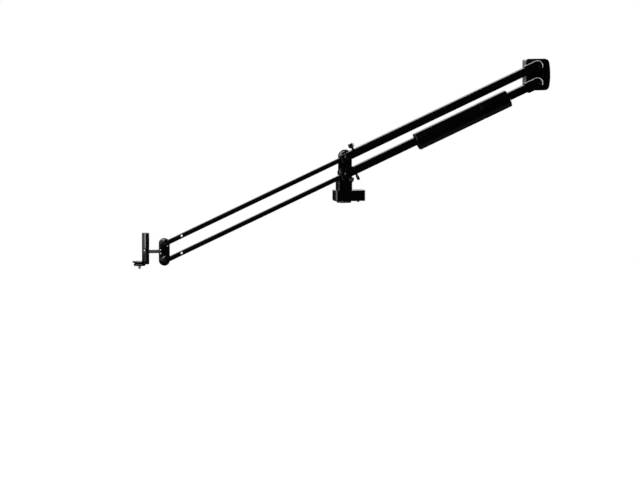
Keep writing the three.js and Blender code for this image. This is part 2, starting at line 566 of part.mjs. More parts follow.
// Front head, from the lower front pivot: plate, axles, rod, grip post, head bracket and lock wheel
function buildFrontHead(group) {
  const nearFace = frontTubeFarFace + gap;
  const farFace = nearFace + frontPlate.thickness;
  const rodHeight = pivotSpacing / 2 + rod.rise;
  const rodY = (nearFace + farFace) / 2;
  const outline = new THREE.Shape();
  outline.absarc(0, pivotSpacing, frontPlate.radius, 0, halfTurn);
  outline.absarc(0, 0, frontPlate.radius, halfTurn, fullTurn);
  const axleHole = (height) => barY(frontAxle.radius + gap, nearFace - overrun, nearFace + frontAxle.intoPlate
    + gap, 0, height);
  const rodHole = barX(rod.radius + gap, -frontPlate.radius - overrun,
    -frontPlate.radius + rod.intoPlate + gap, rodY, rodHeight);
  const plate = cut(alongY(outline, nearFace, farFace, frontPlate.bevel, archSteps), axleHole(0),
    axleHole(pivotSpacing), rodHole);
  add(group, 'front_plate', plate, blackPaint);

  const eyeNear = armPlane - frontTube.depth / 2;
  for (const [side, height] of [['lower', 0], ['upper', pivotSpacing]]) {
    const headFar = eyeNear - gap;
    const headNear = headFar - frontAxle.head;
    const pin = joined(barY(frontAxle.radius, headNear, nearFace + frontAxle.intoPlate, 0, height),
      barY(frontAxle.headRadius, headNear, headFar, 0, height));
    add(group, `${side}_front_axle`, pin, blackPaint);
  }

  const postX = -post.ahead;
  const rodEnd = postX - rod.throughPost;
  add(group, 'head_rod', barX(rod.radius, rodEnd, -frontPlate.radius + rod.intoPlate, rodY, rodHeight), steel);

  // Grip post: a core with a clamp at the rod, a sleeve above it and the head bracket below it
  const clampHalf = post.clampHeight / 2;
  const gripBottom = rodHeight + clampHalf + gap;
  const gripTop = rodHeight + post.above;
  const sleeveTop = rodHeight - clampHalf - gap;
  const postBottom = rodHeight - post.below;
  const crossHole = barX(rod.radius + gap, rodEnd - gap, 0, rodY, rodHeight);
  const at = (solid) => solid.translate(postX, rodY, 0);
  const seatTop = postBottom + seat.aboveFoot;
  const rimBottom = seatTop - seat.rim;
  const coneBottom = rimBottom - seat.coneDrop;
  const wheelTop = coneBottom - gap;
  const coreBottom = wheelTop + gap + post.floor;
  const core = barZ(post.coreRadius, coreBottom, gripTop - post.capRise * 2);
  add(group, 'post_core', cut(at(core), crossHole), steel);
  const coreBore = post.coreRadius + gap;
  const clamp = turned([[coreBore, rodHeight - clampHalf], [post.radius - post.edge, rodHeight - clampHalf],
    [post.radius, rodHeight - clampHalf + post.edge], [post.radius, rodHeight + clampHalf - post.edge],
    [post.radius - post.edge, rodHeight + clampHalf], [coreBore, rodHeight + clampHalf],
    [coreBore, rodHeight - clampHalf]]);
  add(group, 'post_clamp', cut(at(clamp), crossHole), blackAnodised);
  const coreTop = gripTop - post.capRise * 2 + gap;
  const grip = turned([[coreBore, gripBottom], [post.radius - post.edge, gripBottom],
    [post.radius, gripBottom + post.edge], [post.radius, gripTop - post.capRise],
    [post.radius - post.capInset, gripTop], [0, gripTop], [0, coreTop], [coreBore, coreTop],
    [coreBore, gripBottom]]);
  add(group, 'post_grip', at(grip), blackAnodised);

  // Head bracket: a sleeve on the core, fused with the round seat ahead of it by a short neck
  const seatX = postX - seat.ahead;
  const wheelRoom = barZ(lockWheel.radius + slideGap, wheelTop - lockWheel.height, wheelTop + gap, seatX, rodY,
    wideFacets);
  const bracketSleeve = cut(at(turned([[0, postBottom], [post.radius - post.edge, postBottom],
    [post.radius, postBottom + post.edge], [post.radius, sleeveTop - post.edge],
    [post.radius - post.edge, sleeveTop], [0, sleeveTop]])), wheelRoom);
  const seatDisc = turned([[0, coneBottom], [seat.coneRadius, coneBottom], [seat.radius, rimBottom],
    [seat.radius, seatTop - post.footInset], [seat.radius - post.footInset, seatTop], [0, seatTop]],
  seatX, rodY, 0, wideFacets);
  const neck = block(seatX, postX, rodY - seat.neckWidth / 2, rodY + seat.neckWidth / 2, coneBottom, seatTop);
  const studBore = barZ(stud.radius + gap, coneBottom - overrun, seatTop + overrun, seatX, rodY);
  const studRecess = barZ(stud.flangeRadius + gap, seatTop - stud.flange - gap, seatTop + overrun, seatX, rodY);
  const coreHole = at(barZ(coreBore, coreBottom - gap, sleeveTop + overrun));
  add(group, 'head_bracket', cut(joined(bracketSleeve, seatDisc, neck), studBore, studRecess, coreHole),
    blackPaint);

  const wheelBottom = wheelTop - lockWheel.height;
  const studTip = wheelBottom - stud.below;
  add(group, 'head_stud', turned([[0, studTip], [stud.radius - stud.tip, studTip],
    [stud.radius, studTip + stud.tip], [stud.radius, seatTop - stud.flange],
    [stud.flangeRadius, seatTop - stud.flange], [stud.flangeRadius, seatTop], [0, seatTop]],
  seatX, rodY, 0), steel);
  const wheelShape = lobedShape(lockWheel.radius, lockWheel.lobes, lockWheel.lobeDepth, 3);
  const wheel = alongZ(wheelShape, wheelBottom, wheelTop).translate(seatX, rodY, 0);
  add(group, 'head_lock_wheel', cut(wheel,
    barZ(stud.radius + lockWheel.boreGap, wheelBottom - overrun, wheelTop + overrun, seatX, rodY)), blackAnodised);
}

// Rear block, from the lower rear pivot: two plates with the ballast between them, on two axles
function buildRearBlock(group) {
  const nearFace = armFarFace + gap;
  const low = -rearPlate.below;
  const high = pivotSpacing + rearPlate.above;
  const outline = new THREE.Shape();
  const front = -rearPlate.ahead;
  const back = rearPlate.behind;
  const { frontCorner, rearCorner } = rearPlate;
  outline.moveTo(front + frontCorner, low);
  outline.lineTo(back - rearCorner, low);
  outline.quadraticCurveTo(back, low, back + rearPlate.bulge / 2, low + rearCorner);
  outline.quadraticCurveTo(back + rearPlate.bulge * 3 / 2, (low + high) / 2, back + rearPlate.bulge / 2,
    high - rearCorner);
  outline.quadraticCurveTo(back, high, back - rearCorner, high);
  outline.lineTo(front + frontCorner, high);
  outline.absarc(front + frontCorner, high - frontCorner, frontCorner, quarterTurn, halfTurn);
  outline.absarc(front + frontCorner, low + frontCorner, frontCorner, halfTurn, halfTurn + quarterTurn);
  const plateFar = nearFace + rearPlate.thickness;
  const hole = (height, y0, y1) => barY(rearAxle.radius + gap, y0, y1, 0, height);
  const nearPlate = cut(alongY(outline, nearFace, plateFar, ballast.bevel, archSteps / 2),
    hole(0, nearFace - overrun, plateFar + overrun), hole(pivotSpacing, nearFace - overrun, plateFar + overrun));
  add(group, 'rear_near_plate', nearPlate, blackPaint);

  const blockNear = plateFar + gap;
  const blockFar = blockNear + ballast.depth;
  const width = rearPlate.ahead + ballast.behind;
  const height = high - low - 2 * ballast.inset;
  const middleX = (ballast.behind - rearPlate.ahead) / 2;
  const middleZ = (high + low) / 2;
  const axleEnd = blockNear + rearAxle.intoBallast;
  const ballastOutline = roundedRectangle(width, height, frontCorner / 2);
  const ballastBlock = cut(
    alongY(ballastOutline, blockNear, blockFar, ballast.bevel).translate(middleX, 0, middleZ),
    hole(0, blockNear - overrun, axleEnd + gap), hole(pivotSpacing, blockNear - overrun, axleEnd + gap));
  add(group, 'rear_ballast', ballastBlock, greyCast);
  const farOutline = roundedRectangle(width - 2 * ballast.farInset, height - 2 * ballast.farInset,
    frontCorner / 2);
  const farPlate = alongY(farOutline, blockFar + gap, blockFar + gap + ballast.farPlate, ballast.bevel);
  add(group, 'rear_far_plate', farPlate.translate(middleX, 0, middleZ), blackPaint);

  const axleStart = armPlane - rearTube.depth / 2 + lug.endCapRecess;
  add(group, 'lower_rear_axle', barY(rearAxle.radius, axleStart, axleEnd, 0, 0), blackAnodised);
  add(group, 'upper_rear_axle', barY(rearAxle.radius, axleStart, axleEnd, 0, pivotSpacing), blackAnodised);
}

// Counterweight on the lower rear tube: two eight-sided weights, their bushes and a lock knob
function buildCounterweight(group) {
  const circumradius = weight.acrossFlats / 2 / Math.cos(halfTurn / weight.sides);
  const octagon = new THREE.Shape();
  const corners = [];
  for (let i = 0; i < weight.sides; i += 1) {
    const angle = (fullTurn * (i + 1 / 2)) / weight.sides;
    corners.push(new THREE.Vector2(circumradius * Math.cos(angle), circumradius * Math.sin(angle)));
  }
  octagon.setFromPoints(corners);
  const tunnelHeight = rearTube.height + 2 * slideGap;
  const tunnelDepth = rearTube.depth + 2 * slideGap;
  const tunnel = (x0, x1) => block(x0, x1, -tunnelDepth / 2, tunnelDepth / 2, -tunnelHeight / 2,
    tunnelHeight / 2);
  const pocketHeight = rearTube.height + 2 * (slideGap + weightBush.wall);
  const pocketDepth = rearTube.depth + 2 * (slideGap + weightBush.wall);
  const pocket = (x0, x1) => block(x0, x1, -pocketDepth / 2, pocketDepth / 2, -pocketHeight / 2,
    pocketHeight / 2);
  const at = (solid) => solid.translate(0, armPlane, 0);
  const lowered = (solid) => solid.translate(0, 0, -weight.drop);
  const bushEnd = weightStart + weightBush.length;
  const main = cut(lowered(alongX(octagon, weightStart, weightMainEnd, weight.bevel)),
    tunnel(weightStart - overrun, weightMainEnd + overrun), pocket(weightStart - overrun, bushEnd + gap));
  add(group, 'weight_main', at(main), blackPaint);
  const rearBushStart = weightEnd - weightBush.length;
  const lockX = weightEnd - weightLock.fromEnd;
  const farFlat = weight.acrossFlats / 2;
  const lockBore = barY(weightLock.screwRadius + gap, 0, farFlat + overrun, lockX, 0, fineFacets);
  const rear = cut(lowered(alongX(octagon, weightRearStart, weightEnd, weight.bevel)),
    tunnel(weightRearStart - overrun, weightEnd + overrun), pocket(rearBushStart - gap, weightEnd + overrun),
    lockBore);
  add(group, 'weight_rear', at(rear), blackPaint);

  const weightBushSolid = (x0, x1) => sleeve(pocketHeight - 2 * gap, pocketDepth - 2 * gap, rearTube.corner,
    tunnelHeight - 2 * gap, tunnelDepth - 2 * gap, rearTube.corner, x0, x1);
  add(group, 'weight_front_bush', at(weightBushSolid(weightStart, bushEnd)), blackPlastic);
  add(group, 'weight_rear_bush', at(weightBushSolid(rearBushStart, weightEnd)), blackPlastic);

  const knobShape = lobedShape(weightLock.radius, weightLock.lobes, weightLock.lobeDepth, 4);
  const knobNear = farFlat + weightLock.lobeStand;
  const lockKnob = joined(
    alongY(knobShape, knobNear, knobNear + weightLock.length, base.edge).translate(lockX, 0, 0),
    barY(weightLock.screwRadius, rearTube.depth / 2 + gap, knobNear + gap, lockX, 0, fineFacets));
  add(group, 'weight_lock_knob', at(lockKnob), blackPlastic);
}

// Assembly: each arm hangs in a group at its column pivot, turned by the rest tilt
function armGroup(height) {
  const group = new THREE.Group();
  group.position.set(0, 0, height);
  group.rotation.y = -tilt;
  crane.add(group);
  return group;
}

// A group that stays upright at a place on the lower arm
function uprightGroup(reach) {
  const group = new THREE.Group();
  group.position.set(reach * Math.cos(tilt), 0, lowerPivotHeight + reach * Math.sin(tilt));
  crane.add(group);
  return group;
}

const gearBottom = buildBase();
const axles = buildColumn(gearBottom);
const lowerArm = armGroup(lowerPivotHeight);
const upperArm = armGroup(upperPivotHeight);
buildRearArm(lowerArm, 'lower', -1, axles.lowerAxleEnd);
buildRearArm(upperArm, 'upper', 1, axles.upperAxleEnd);
const nutStart = axles.upperBarrelEnd + gap;
add(upperArm, 'upper_axle_nut', cut(barY(axle.nutRadius, nutStart, nutStart + axle.nutHeight, 0, 0, 6),
  barY(axle.radius + gap, nutStart - overrun, nutStart + axle.nutHeight + overrun)), steel);
buildFrontArm(lowerArm, 'lower');
buildFrontArm(upperArm, 'upper');
buildThumbscrew(lowerArm, 'lower', true);
buildThumbscrew(upperArm, 'upper', false);
buildTiltLock(lowerArm);
buildCounterweight(lowerArm);
buildFrontHead(uprightGroup(-frontReach));
buildRearBlock(uprightGroup(rearReach));

export default crane;
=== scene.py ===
"""Looks of the camera jib crane: materials, eased edges, screws, knobs and studio."""
import math

import bmesh
import bpy
import numpy as np
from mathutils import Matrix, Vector


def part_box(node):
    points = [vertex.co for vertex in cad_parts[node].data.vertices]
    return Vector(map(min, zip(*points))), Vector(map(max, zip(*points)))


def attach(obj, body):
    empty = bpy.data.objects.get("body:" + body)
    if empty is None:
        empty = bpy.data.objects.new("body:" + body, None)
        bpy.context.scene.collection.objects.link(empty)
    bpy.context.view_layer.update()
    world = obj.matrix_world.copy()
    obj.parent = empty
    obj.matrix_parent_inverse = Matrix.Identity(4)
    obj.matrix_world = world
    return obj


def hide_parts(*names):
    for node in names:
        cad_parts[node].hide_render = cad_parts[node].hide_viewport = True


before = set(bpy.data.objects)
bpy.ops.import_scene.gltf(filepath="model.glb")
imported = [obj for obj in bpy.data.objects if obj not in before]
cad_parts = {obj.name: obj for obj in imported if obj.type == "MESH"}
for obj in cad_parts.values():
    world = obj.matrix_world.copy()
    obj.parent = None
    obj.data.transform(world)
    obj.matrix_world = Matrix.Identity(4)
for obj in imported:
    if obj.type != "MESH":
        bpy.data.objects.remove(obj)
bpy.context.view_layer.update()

# Sizes in metres, as in the solids
mm = 0.001
tilt = math.radians(24.36)
pivot_spacing = 61 * mm
lower_pivot = np.array([0, 0, 104.7 * mm])
upper_pivot = lower_pivot + [0, 0, pivot_spacing]
front_reach = 719 * mm
rear_reach = 760.5 * mm
arm_plane = -43.7 * mm
tube_half_height = 14.3 * mm
tube_half_depth = 12.7 * mm
tube_end = 714.5 * mm
clamp_place = 32 * mm
weight_half = 30 * mm
weight_end = rear_reach - 116.5 * mm
weight_knob_place = weight_end - 51 * mm

along = np.array([math.cos(tilt), 0, math.sin(tilt)])
across = np.array([-math.sin(tilt), 0, math.cos(tilt)])
east = np.array([1.0, 0, 0])
north = np.array([0, 1.0, 0])
up = np.array([0, 0, 1.0])
towards_viewer = -north
front_pivot = lower_pivot - front_reach * along
rear_pivot = lower_pivot + rear_reach * along

# How far each arm's pivots lie above the lower ones
arm_rises = {"lower": 0.0, "upper": pivot_spacing}

# Faces that meet at more than this many degrees keep a sharp edge
crease = 34


def on_arm(s, v=0.0, y=arm_plane, pivot=lower_pivot):
    """The point s along an arm from its pivot, v square to it and y across the crane."""
    return pivot + s * along + v * across + y * north


def in_mm(points, radius=0.0, height=0.0):
    """A profile given in millimetres, counted from a radius and a height in metres."""
    return np.array(points) * mm + [radius, height]


# Materials

def add_node(tree, kind, **inputs):
    """A new node whose inputs take the values given under their names, with _ for a space."""
    made = tree.nodes.new(kind)
    for name, value in inputs.items():
        made.inputs[name.replace("_", " ")].default_value = value
    return made


class Finish:
    """A node material on Object coordinates, built step by step."""

    def __init__(self, name, colour, roughness, metallic=0.0, ior=1.45):
        self.material = bpy.data.materials.new(name)
        self.material.use_nodes = True
        self.tree = self.material.node_tree
        self.shader = self.tree.nodes["Principled BSDF"]
        self.shader.inputs["Base Color"].default_value = (*colour, 1)
        self.shader.inputs["Roughness"].default_value = roughness
        self.shader.inputs["Metallic"].default_value = metallic
        self.shader.inputs["IOR"].default_value = ior
        self.material.diffuse_color = (*colour, 1)
        self.coordinates = self.tree.nodes.new("ShaderNodeTexCoord").outputs["Object"]

    def turned(self, scale=(1, 1, 1), rotation=(0, 0, 0)):
        """Object coordinates turned and scaled by a Mapping node."""
        mapping = add_node(self.tree, "ShaderNodeMapping", Scale=scale, Rotation=rotation)
        self.tree.links.new(self.coordinates, mapping.inputs["Vector"])
        return mapping.outputs["Vector"]

    def noise(self, scale, detail, vector=None, roughness=0.5):
        """The value of a noise on Object coordinates, or on another vector."""
        texture = add_node(self.tree, "ShaderNodeTexNoise", Scale=scale, Detail=detail, Roughness=roughness)
        self.tree.links.new(vector or self.coordinates, texture.inputs["Vector"])
        return texture.outputs["Fac"]

    def waves(self, scale, vector):
        """The value of sine bands along a vector's first axis."""
        texture = add_node(self.tree, "ShaderNodeTexWave", Scale=scale)
        self.tree.links.new(vector, texture.inputs["Vector"])
        return texture.outputs["Fac"]

    def between(self, value, low, high, start=0.0, end=1.0):
        """The value spread from start..end onto low..high."""
        spread = add_node(self.tree, "ShaderNodeMapRange", From_Min=start, From_Max=end, To_Min=low,
                          To_Max=high)
        self.tree.links.new(value, spread.inputs["Value"])
        return spread.outputs["Result"]

    def colours(self, value, *stops):
        """A colour ramp of (place, colour) stops driven by the value, on the base colour."""
        ramp = self.tree.nodes.new("ShaderNodeValToRGB")
        elements = ramp.color_ramp.elements
        while len(elements) < len(stops):
            elements.new(0.5)
        for element, (place, colour) in zip(elements, stops):
            element.position = place
            element.color = (*colour, 1)
        self.tree.links.new(value, ramp.inputs["Fac"])
        self.tree.links.new(ramp.outputs["Color"], self.shader.inputs["Base Color"])

    def rough(self, value, low, high):
        """Roughness from low to high, as the value goes through the middle of a noise's span."""
        self.tree.links.new(self.between(value, low, high, 0.3, 0.7), self.shader.inputs["Roughness"])

    def bump(self, *layers):
        """Bumps laid on each other: each layer is (height value, distance in metres, strength)."""
        normal = None
        for value, distance, strength in layers:
            bump = add_node(self.tree, "ShaderNodeBump", Distance=distance, Strength=strength)
            self.tree.links.new(value, bump.inputs["Height"])
            if normal:
                self.tree.links.new(normal, bump.inputs["Normal"])
            normal = bump.outputs["Normal"]
        self.tree.links.new(normal, self.shader.inputs["Normal"])


def powder_coat(name, dark, light, roughness=0.19, grain=900, ior=1.45):
    """Satin powder coat: slow cloudiness under a fine orange peel."""
    finish = Finish(name, dark, roughness, ior=ior)
    finish.colours(finish.noise(26, 4), (0.35, dark), (0.72, light))
    finish.rough(finish.noise(70, 5), roughness - 0.03, roughness + 0.06)
    finish.bump((finish.noise(grain, 2), 0.06 * mm, 0.08), (finish.noise(210, 2), 0.12 * mm, 0.04))
    return finish.material


def anodised(name, dark, light, lengthwise, roughness=0.19):
    """Black anodised aluminium with the fine lengthwise lines of a drawn or turned piece."""
    finish = Finish(name, dark, roughness)
    lines = finish.noise(1, 3, finish.turned(scale=lengthwise, rotation=(0, tilt, 0)))
    finish.colours(lines, (0.3, dark), (0.75, light))
    finish.rough(lines, roughness - 0.03, roughness + 0.06)
    finish.bump((lines, 0.03 * mm, 0.1), (finish.noise(1500, 2), 0.03 * mm, 0.08))
    return finish.material


def machined(name, dark, light, rotation, roughness=0.3, metallic=0.95):
    """Turned steel: close rings along the piece's axis and faint handling marks."""
    finish = Finish(name, dark, roughness, metallic=metallic)
    rings = finish.waves(2600, finish.turned(rotation=rotation))
    marks = finish.noise(55, 6)
    finish.colours(marks, (0.3, dark), (0.7, light))
    finish.rough(marks, roughness - 0.06, roughness + 0.14)
    finish.bump((rings, 0.02 * mm, 0.25), (marks, 0.03 * mm, 0.2))
    return finish.material


def moulded(name, dark, light, roughness=0.55, grain=1700):
    """Moulded plastic with a spark-eroded grain."""
    finish = Finish(name, dark, roughness, ior=1.4)
    finish.colours(finish.noise(40, 3), (0.35, dark), (0.7, light))
    finish.rough(finish.noise(160, 3), roughness - 0.07, roughness + 0.09)
    finish.bump((finish.noise(grain, 2), 0.07 * mm, 0.4))
    return finish.material


def cast_grey(name, dark, light):
    """Grey painted casting: coarse sand texture under a satin paint, paler in patches."""
    finish = Finish(name, dark, 0.42, metallic=0.15)
    patches = finish.noise(34, 6, roughness=0.62)
    finish.colours(patches, (0.32, dark), (0.66, light))
    finish.rough(patches, 0.36, 0.52)
    finish.bump((finish.noise(420, 3), 0.16 * mm, 0.35), (finish.noise(90, 3), 0.2 * mm, 0.2))
    return finish.material


# Shared colours, and the turns that lay a finish's rings along one axis
jet, jet_grey, jet_pale = (0.0005, 0.0005, 0.0006), (0.0009, 0.0009, 0.001), (0.001, 0.001, 0.0011)
anodised_dark, anodised_light = (0.0012, 0.0012, 0.0014), (0.003, 0.003, 0.0034)
rings_along_x, rings_along_y, rings_along_z = (0, 0, 0), (0, 0, math.pi / 2), (0, math.pi / 2, 0)

column_coat = powder_coat("column powder coat", jet, jet_grey)
base_coat = powder_coat("base powder coat", jet, jet_grey, roughness=0.18, grain=800)
fitting_coat = powder_coat("fittings powder coat", jet, jet_pale, roughness=0.18, grain=1100)
bracket_coat = powder_coat("bracket powder coat", (0.0008, 0.0008, 0.0009), (0.0014, 0.0014, 0.0015),
                           roughness=0.36, grain=700, ior=1.25)
weight_coat = powder_coat("counterweight enamel", jet, jet_grey, roughness=0.17, grain=500)
tube_black = anodised("anodised arm tube", jet, jet_pale, lengthwise=(9, 900, 900))
turned_black = anodised("anodised turned ring", anodised_dark, anodised_light, lengthwise=(500, 500, 1600))
pin_black = machined("blackened pin", (0.006, 0.006, 0.0066), (0.012, 0.012, 0.013), rings_along_y, 0.34)
screw_black = machined("blackened screw", (0.012, 0.012, 0.013), (0.024, 0.024, 0.026), rings_along_x, 0.34)
post_black = powder_coat("post anodising", anodised_dark, anodised_light, roughness=0.17, grain=1500,
                         ior=1.72)
bright_steel = machined("turned steel", (0.3, 0.3, 0.31), (0.42, 0.42, 0.43), rings_along_x)
# Pale half-metal steel: the colour of the painted highlight strips on lit edges, and of bare steel screw
# heads whose paleness also paints their glints
highlight_and_bare_steel = machined("painted highlight and bare steel", (0.56, 0.56, 0.57), (0.66, 0.66, 0.67), rings_along_x, 0.4, metallic=0.3)
rod_steel = machined("drawn steel rod", (0.13, 0.13, 0.134), (0.2, 0.2, 0.205), rings_along_x, 0.32)
post_steel = machined("turned steel post", (0.26, 0.26, 0.27), (0.36, 0.36, 0.37), rings_along_z, 0.32)
carrier_cast = cast_grey("bearing carrier casting", (0.2, 0.2, 0.205), (0.28, 0.28, 0.285))
ballast_cast = cast_grey("grey ballast casting", (0.12, 0.122, 0.128), (0.175, 0.178, 0.185))
bush_bronze = machined("bearing bronze", (0.3, 0.17, 0.07), (0.42, 0.26, 0.11), rings_along_y, 0.36)
knob_plastic = moulded("moulded knob", anodised_dark, (0.0024, 0.0024, 0.0027), roughness=0.36)
bush_plastic = moulded("moulded slider", (0.0022, 0.0022, 0.0024), (0.004, 0.004, 0.0043), roughness=0.5,
                       grain=2200)
# Pale plastic for the upper thumbscrew's tip: a painted highlight standing for the light on that end
highlight_tip_plastic = moulded("painted highlight tip", (0.42, 0.44, 0.47), (0.52, 0.54, 0.57), roughness=0.4)
plug_rubber = moulded("plug rubber", (0.006, 0.006, 0.006), (0.01, 0.01, 0.01), roughness=0.72, grain=1300)


# Surfaces

def to_world(points, origin, first, second, third):
    """Points in (a, b, c) turned into the row frame: origin + a*first + b*second + c*third."""
    return origin + points @ np.array([first, second, third])


def add_object(name, data):
    """A new object of the scene that holds a mesh, a lamp or a camera."""
    holder = bpy.data.objects.new(name, data)
    bpy.context.scene.collection.objects.link(holder)
    return holder


def settle(piece, body, material, stands_for=()):
    """Puts a finished piece on its body with its finish, and hides the solids that it stands for."""
    piece.data.materials.clear()
    piece.data.materials.append(material)
    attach(piece, body)
    if stands_for:
        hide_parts(*stands_for)


def shaded(mesh, angle):
    """Smooth shading that stays sharp where faces meet at more than the angle."""
    mesh.polygons.foreach_set("use_smooth", np.ones(len(mesh.polygons), bool))
    mesh.set_sharp_from_angle(angle=math.radians(angle))
    mesh.update()


def skin(name, shells, wrapped=False, angle=crease):
    """A mesh over one or more shells of rings. A shell is an array (rings, points, 3): four-sided faces join
    each ring to the next, and either the last ring joins the first or both end rings are capped."""
    corners, faces, start = [], [], 0
    for rings in shells:
        count, size = rings.shape[:2]
        ring, point = np.meshgrid(np.arange(count if wrapped else count - 1), np.arange(size), indexing="ij")
        after, beside = (ring + 1) % count, (point + 1) % size
        quads = np.stack([ring * size + point, ring * size + beside, after * size + beside,
                          after * size + point], -1)
        faces += (quads.reshape(-1, 4) + start).tolist()
        if not wrapped:
            ends = np.arange(size) + start
            faces += [ends[::-1].tolist(), (ends + (count - 1) * size).tolist()]
        corners.append(rings.reshape(-1, 3))
        start += count * size
    mesh = bpy.data.meshes.new(name)
    mesh.from_pydata(np.concatenate(corners), [], faces)
    shape = bmesh.new()
    shape.from_mesh(mesh)
    bmesh.ops.remove_doubles(shape, verts=shape.verts, dist=1e-7)
    bmesh.ops.recalc_face_normals(shape, faces=shape.faces)
    shape.to_mesh(mesh)
    shape.free()
    shaded(mesh, angle)
    return add_object(name, mesh)


def revolved(profile, centre, axis, rim=None, points=96):
    """Rings of a turned piece: each (radius, height) of the profile is a circle of that radius round the
    axis, at that height along it. A rim function of the angle, radius and height changes the radius, for
    lobes, grooves and knurls."""
    axis = np.asarray(axis, float)
    first = np.cross(axis, north if abs(axis[1]) < 0.9 else east)
    first /= np.linalg.norm(first)
    second = np.cross(axis, first)
    profile = np.asarray(profile, float)
    turn = np.linspace(0, 2 * np.pi, points, endpoint=False)[None]
    radius, height = profile[:, :1] + 0 * turn, profile[:, 1:2] + 0 * turn
    if rim:
        radius = rim(turn, radius, height)
    local = np.stack([radius * np.cos(turn), radius * np.sin(turn), height], -1)
    return to_world(local, np.asarray(centre, float), first, second, axis)


def rolled(radius, low, high, edge, steps=4):
    """Profile of a plain turned bar with rolled edges: at each end the radius grows as the sine, and the
    height moves as one less the cosine, of an angle from nought to a right angle."""
    a = np.linspace(0, np.pi / 2, steps + 1)
    inset, rise = edge * (1 - np.sin(a)), edge * (1 - np.cos(a))
    lower = np.stack([radius - inset, low + rise], -1)
    return np.concatenate([lower, np.stack([radius - inset, high - rise], -1)[::-1]])


def lobes(count, depth):
    """A rim of waves: the radius loses depth times half of one less the cosine of count times the angle."""
    return lambda turn, radius, height: radius * (1 - depth / 2 * (1 - np.cos(count * turn)))


def knurl(count, depth, low, high):
    """A rim of narrow grooves between two heights: the radius loses the depth times the sixth power of the
    cosine of half of count times the angle."""
    def cut(turn, radius, height):
        inside = (height > low) & (height < high)
        return radius - depth * inside * np.abs(np.cos(count * turn / 2)) ** 6

    return cut


def eased(node, edge, body, material, segments=2, angle=crease):
    """A copy of a solid with its flat faces joined up and its edges rounded by a Bevel. Each corner's normal
    leans to its largest face, so that wide flats stay flat beside the rounded edges."""
    shape = bmesh.new()
    shape.from_mesh(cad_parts[node].data)
    bmesh.ops.remove_doubles(shape, verts=shape.verts, dist=1e-6)
    bmesh.ops.dissolve_limit(shape, angle_limit=math.radians(1), verts=shape.verts, edges=shape.edges)
    mesh = bpy.data.meshes.new(f"{node}_eased")
    shape.to_mesh(mesh)
    shape.free()
    shaded(mesh, angle)
    piece = add_object(mesh.name, mesh)
    bevel = piece.modifiers.new("edges", "BEVEL")
    bevel.width = edge
    bevel.segments = segments
    bevel.limit_method = "ANGLE"
    bevel.angle_limit = math.radians(40)
    bevel.miter_outer = "MITER_ARC"
    piece.modifiers.new("flats", "WEIGHTED_NORMAL").keep_sharp = True
    settle(piece, body, material, (node,))


def crescent(name, body, centre, radius, first, last, width):
    """A painted highlight: a thin pale strip on the lit rim of a face turned to the viewer, an arc between
    two angles up from east, whose width and height follow the square root of the sine of the share along it,
    so that both ends run out."""
    share = np.linspace(0, 1, 40)
    turn = np.radians(first + (last - first) * share)
    swell = np.sqrt(np.sin(np.pi * share)) + 0.02
    rings = []
    for offset, rise in ((-0.5, -0.1 * mm), (-0.3, 0.25 * mm), (0.3, 0.25 * mm), (0.5, -0.1 * mm)):
        r = radius + offset * width * swell
        local = np.stack([r * np.cos(turn), r * np.sin(turn), rise * swell], -1)
        rings.append(to_world(local, centre, east, up, towards_viewer))
    settle(skin(name, [np.stack(rings, 1)], angle=50), body, highlight_and_bare_steel)


def socket_screws(name, places, outward, body, radius, rise, material=screw_black):
    """Socket-head screws at several places: each is a turned head with a rolled rim, and a six-sided recess
    whose radius at an angle is its flat's distance over the cosine of the angle from the nearest flat. The
    profile's radii of -1 are the recess."""
    flat = 0.5 * radius

    def hexed(turn, r, height):
        six = flat / np.cos((turn + np.pi / 6) % (np.pi / 3) - np.pi / 6)
        return np.where(r < 0, six, r)

    profile = [(radius, -0.3 * rise), (radius, 0.72 * rise), (0.97 * radius, 0.9 * rise),
               (0.88 * radius, rise), (0.66 * radius, rise), (-1, 0.95 * rise), (-1, 0.35 * rise)]
    shells = [revolved(profile, place, outward, hexed, 36) for place in places]
    settle(skin(name, shells, angle=30), body, material)


def inset_corners(box, first, second, inset):
    """The four corners of a box in two of its axes, each moved in by the inset."""
    low, high = box
    return [(a, b) for a in (low[first] + inset, high[first] - inset)
            for b in (low[second] + inset, high[second] - inset)]


# Studio: pale floor, soft light and the photograph's view

def aim(holder, place, facing):
    """Puts a camera or a lamp at a place and turns it to look along a direction."""
    holder.location = place
    holder.rotation_mode = "QUATERNION"
    holder.rotation_quaternion = facing.to_track_quat("-Z", "Y")


def camera_view():
    """The photograph's view, through a long lens from far off."""
    camera = add_object("camera", bpy.data.cameras.new("camera"))
    bpy.context.scene.camera = camera
    middle, distance = Vector((-0.0868, 0, -0.1322)), 30
    back = Vector((-0.2072, -0.9743, 0.0872)).normalized()
    aim(camera, middle + distance * back, -back)
    camera.data.lens = 475.35
    camera.data.sensor_width = 36
    camera.data.clip_start, camera.data.clip_end = 1, 300


